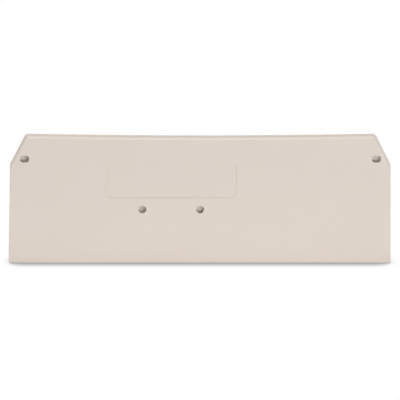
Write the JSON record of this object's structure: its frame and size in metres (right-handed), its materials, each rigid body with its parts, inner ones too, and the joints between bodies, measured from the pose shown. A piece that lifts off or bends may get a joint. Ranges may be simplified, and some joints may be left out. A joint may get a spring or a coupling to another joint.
{
  "type": "terminal block end cover",
  "caption": "Thin moulded end plate for a row of rail-mounted terminal blocks, with slanted top corners, blind sockets outside and a ribbed shell with pins inside.",
  "frame": {"origin": "middle of the foot edge, halfway through the plate's thickness", "axes": "+X along the foot edge, +Y through the plate towards the terminal block, +Z away from the rail"},
  "size_m": [0.086, 0.0042, 0.0294],
  "materials": {
    "polyamide": "light warm grey polyamide, moulded satin"
  },
  "bodies": {
    "root": {"end_cover": "polyamide"}
  },
  "joints": []
}
